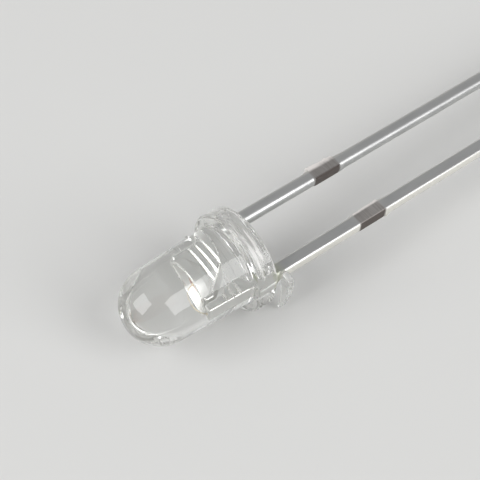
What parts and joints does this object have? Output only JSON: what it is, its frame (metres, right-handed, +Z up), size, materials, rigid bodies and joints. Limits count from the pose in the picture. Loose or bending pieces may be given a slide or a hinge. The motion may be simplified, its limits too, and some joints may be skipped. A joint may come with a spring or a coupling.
{
  "type": "through hole led",
  "caption": "Water-clear round through-hole LED with a domed lens, a flange with a cathode flat and long square leads.",
  "frame": {"origin": "on the bench under the middle of the lamp's length, below the lens axis", "axes": "+X from the lead tips towards the dome, +Z up from the bench, +Y towards the cathode. The lamp lies at rest on its flange rim and lead tips, so its lens axis rises 3.6 degrees towards the dome."},
  "size_m": [0.0321, 0.004, 0.0039],
  "materials": {
    "clear_epoxy": "water-clear moulded epoxy, polished dome and barrel",
    "tinned_lead": "tinned steel strip, satin with fine drawn lines",
    "chip": "sawn semiconductor crystal",
    "silver_paste": "silver-filled conductive adhesive",
    "gold_wire": "drawn gold wire"
  },
  "bodies": {
    "root": {"epoxy_body": "clear_epoxy", "cathode_lead": "tinned_lead", "anode_lead": "tinned_lead", "led_chip": "chip", "die_attach": "silver_paste", "bond_wire": "gold_wire"}
  },
  "joints": []
}
